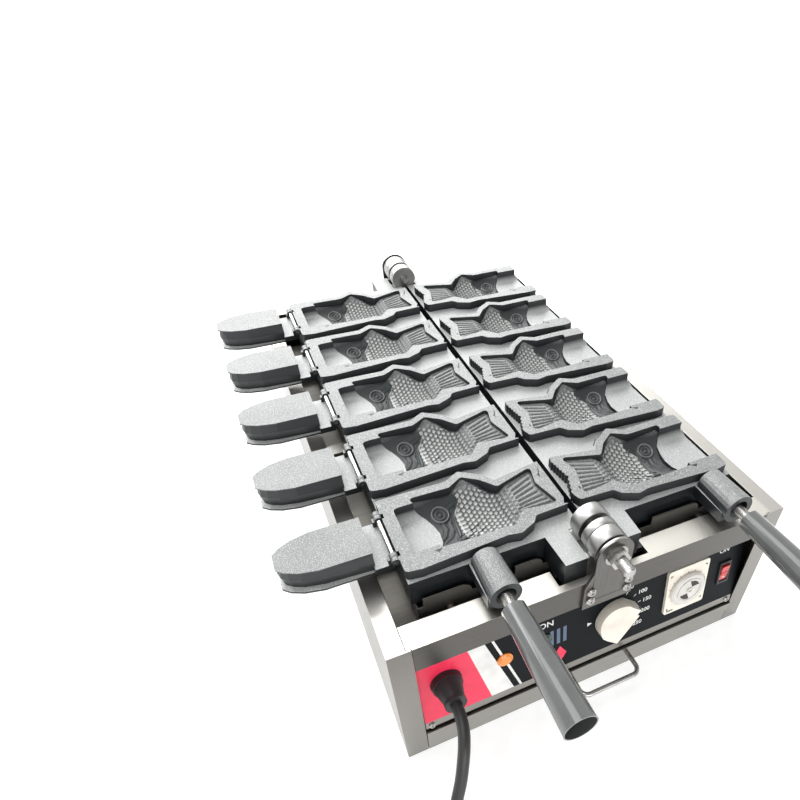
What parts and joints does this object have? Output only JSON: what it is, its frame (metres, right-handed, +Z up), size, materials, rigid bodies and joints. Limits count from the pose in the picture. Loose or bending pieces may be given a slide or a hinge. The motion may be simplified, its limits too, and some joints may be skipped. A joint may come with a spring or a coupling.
{
  "type": "fish waffle maker",
  "caption": "Countertop waffle cooker: two fish-shaped mould plates with handles fold over each other on one hinge line above a heated stainless base with a sloping control panel.",
  "frame": {"origin": "middle of the base's underside, on the worktop", "axes": "+X to the right across both moulds, +Y from the control panel to the back along the hinge line, +Z up"},
  "size_m": [0.5559, 0.8519, 0.213],
  "materials": {
    "stainless": "brushed sheet",
    "bright_steel": "bright machined",
    "heater_steel": "heat-stained",
    "nonstick_casting": "dark non-stick coat with fine speckle",
    "grip_resin": "glossy",
    "printed_panel": "printed sheet, satin",
    "black_resin": "moulded",
    "beige_resin": "moulded, semi-gloss",
    "dial_resin": "clear cap over a grey face",
    "red_resin": "moulded, semi-gloss",
    "amber_lens": "clear lens",
    "green_lens": "clear lens",
    "cord_rubber": "matt with slight sheen"
  },
  "bodies": {
    "base": {"base_pan": "stainless", "left_side_panel": "stainless", "right_side_panel": "stainless", "rear_panel": "stainless", "front_rail": "stainless", "control_panel": "printed_panel", "panel_brackets": "stainless", "panel_screws": "bright_steel", "heater_tray": "stainless", "cross_bars": "stainless", "heat_shield": "stainless", "heater_rests": "stainless", "left_heater": "heater_steel", "right_heater": "heater_steel", "front_hinge_bracket": "stainless", "rear_hinge_bracket": "stainless", "bracket_screws": "bright_steel", "front_hinge_pin": "bright_steel", "rear_hinge_pin": "bright_steel", "hinge_nuts": "bright_steel", "hinge_washers": "black_resin", "thermostat_body": "black_resin", "timer_housing": "beige_resin", "switch_housing": "black_resin", "ready_lamp": "amber_lens", "power_lamp": "green_lens", "tray_runners": "stainless", "terminal_block": "black_resin", "cable_gland": "cord_rubber", "strain_relief": "cord_rubber", "power_cord": "cord_rubber", "cord_coil": "cord_rubber", "plug": "cord_rubber"},
    "left_mould": {"left_mould": "nonstick_casting", "left_knuckles": "bright_steel", "left_handle_stud": "bright_steel", "left_grip": "grip_resin", "core_pins": "bright_steel"},
    "right_mould": {"right_mould": "nonstick_casting", "right_knuckles": "bright_steel", "right_handle_stud": "bright_steel", "right_grip": "grip_resin"},
    "thermostat_knob": {"thermostat_knob": "beige_resin"},
    "timer_dial": {"timer_dial": "dial_resin"},
    "switch_rocker": {"switch_rocker": "red_resin"},
    "crumb_tray": {"crumb_tray": "stainless", "tray_handle": "bright_steel"},
    "mouth_core_1": {"mouth_core_1": "nonstick_casting"},
    "mouth_core_2": {"mouth_core_2": "nonstick_casting"},
    "mouth_core_3": {"mouth_core_3": "nonstick_casting"},
    "mouth_core_4": {"mouth_core_4": "nonstick_casting"},
    "mouth_core_5": {"mouth_core_5": "nonstick_casting"}
  },
  "joints": [
    {"name": "left_mould_turn", "type": "hinge", "parent": "base", "child": "left_mould", "pos_m": [0, 0, 0.196], "axis": [0, 1, 0], "range_deg": [0, 180]},
    {"name": "right_mould_turn", "type": "hinge", "parent": "base", "child": "right_mould", "pos_m": [0, 0, 0.196], "axis": [0, 1, 0], "range_deg": [-180, 0]},
    {"name": "mouth_core_1_turn", "type": "hinge", "parent": "left_mould", "child": "mouth_core_1", "pos_m": [-0.1596, -0.2009, 0.1939], "axis": [0, 1, 0], "range_deg": [0, 180]},
    {"name": "mouth_core_2_turn", "type": "hinge", "parent": "left_mould", "child": "mouth_core_2", "pos_m": [-0.1596, -0.1029, 0.1939], "axis": [0, 1, 0], "range_deg": [0, 180]},
    {"name": "mouth_core_3_turn", "type": "hinge", "parent": "left_mould", "child": "mouth_core_3", "pos_m": [-0.1596, -0.0049, 0.1939], "axis": [0, 1, 0], "range_deg": [0, 180]},
    {"name": "mouth_core_4_turn", "type": "hinge", "parent": "left_mould", "child": "mouth_core_4", "pos_m": [-0.1596, 0.0931, 0.1939], "axis": [0, 1, 0], "range_deg": [0, 180]},
    {"name": "mouth_core_5_turn", "type": "hinge", "parent": "left_mould", "child": "mouth_core_5", "pos_m": [-0.1596, 0.1911, 0.1939], "axis": [0, 1, 0], "range_deg": [0, 180]},
    {"name": "thermostat_turn", "type": "hinge", "parent": "base", "child": "thermostat_knob", "pos_m": [0.023, -0.28497, 0.08657], "axis": [0, -0.9914, 0.1305], "range_deg": [-270, 0]},
    {"name": "timer_turn", "type": "hinge", "parent": "base", "child": "timer_dial", "pos_m": [0.1025, -0.28458, 0.08955], "axis": [0, -0.9914, 0.1305], "range_deg": [-300, 0]},
    {"name": "switch_rock", "type": "hinge", "parent": "base", "child": "switch_rocker", "pos_m": [0.1505, -0.28398, 0.08644], "axis": [1, 0, 0], "range_deg": [-15, 0]},
    {"name": "crumb_tray_slide", "type": "slide", "parent": "base", "child": "crumb_tray", "axis": [0, -1, 0], "range_m": [0, 0.38]}
  ]
}
